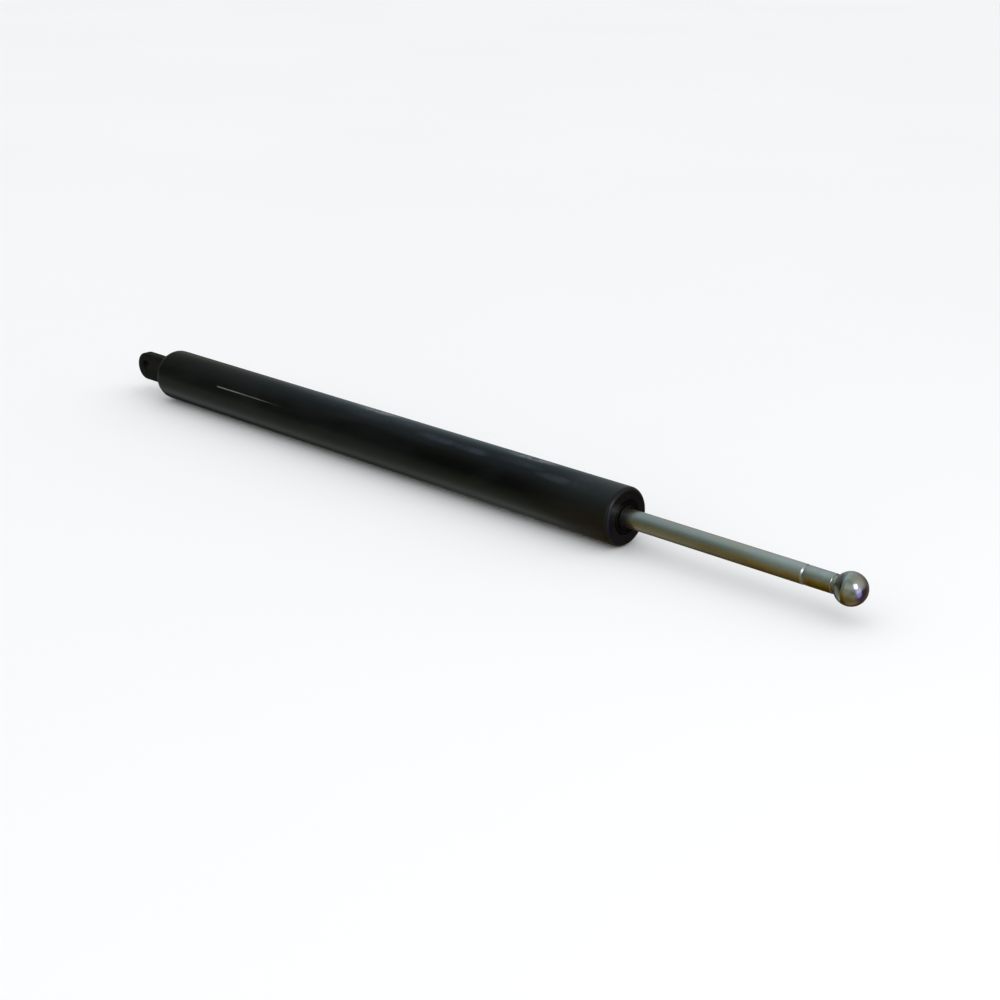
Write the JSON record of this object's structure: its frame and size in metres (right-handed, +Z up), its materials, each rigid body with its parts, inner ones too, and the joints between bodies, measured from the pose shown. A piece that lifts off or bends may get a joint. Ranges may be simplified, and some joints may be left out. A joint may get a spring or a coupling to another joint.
{
  "type": "gas strut stay",
  "caption": "Gas strut stay: a closed pressure tube with a flat eye tang at one end, and a sliding polished piston rod with a ball end at the other.",
  "frame": {"origin": "centre of the eye hole in the tang, on the strut's axis", "axes": "+X along the strut from the eye to the ball, +Y along the eye hole, +Z up across the blade"},
  "size_m": [0.4475, 0.025, 0.025],
  "materials": {
    "tube_paint": "gloss black stoved paint on steel tube",
    "tang_black": "satin black coated steel",
    "cap_black": "black moulded cap",
    "wiper_rubber": "black rubber, matt",
    "rod_chrome": "hard chromed and polished",
    "ball_steel": "polished plated steel",
    "plug_steel": "turned steel",
    "guide_alu": "turned aluminium",
    "bush_bronze": "bronze backed bearing strip",
    "nitrile": "black nitrile rubber",
    "spring_steel": "bright spring steel",
    "buffer_pu": "amber polyurethane",
    "piston_plastic": "dark glass-filled nylon",
    "ring_ptfe": "grey filled PTFE"
  },
  "bodies": {
    "barrel": {"pressure_tube": "tube_paint", "end_plug": "plug_steel", "plug_oring": "nitrile", "eye_tang": "tang_black", "rod_guide": "guide_alu", "guide_bush": "bush_bronze", "guide_oring": "nitrile", "seal_washer": "plug_steel", "rod_seal": "nitrile", "seal_spring": "spring_steel", "guide_cap": "cap_black", "dust_wiper": "wiper_rubber"},
    "ring": {"piston_ring": "ring_ptfe"},
    "rod": {"piston_rod": "rod_chrome", "stop_buffer": "buffer_pu", "support_disc": "plug_steel", "piston": "piston_plastic", "valve_disc": "plug_steel", "spring_washer": "spring_steel", "piston_nut": "plug_steel", "ball_end": "ball_steel"}
  },
  "joints": [
    {"name": "rod_slide", "type": "slide", "parent": "barrel", "child": "ring", "axis": [1, 0, 0], "range_m": [-0.08, 0], "stiffness_N_per_m": 150, "springref_m": 0.6},
    {"name": "rod_spin", "type": "hinge", "parent": "ring", "child": "rod", "pos_m": [0.3, 0, 0], "axis": [1, 0, 0], "continuous": true}
  ]
}
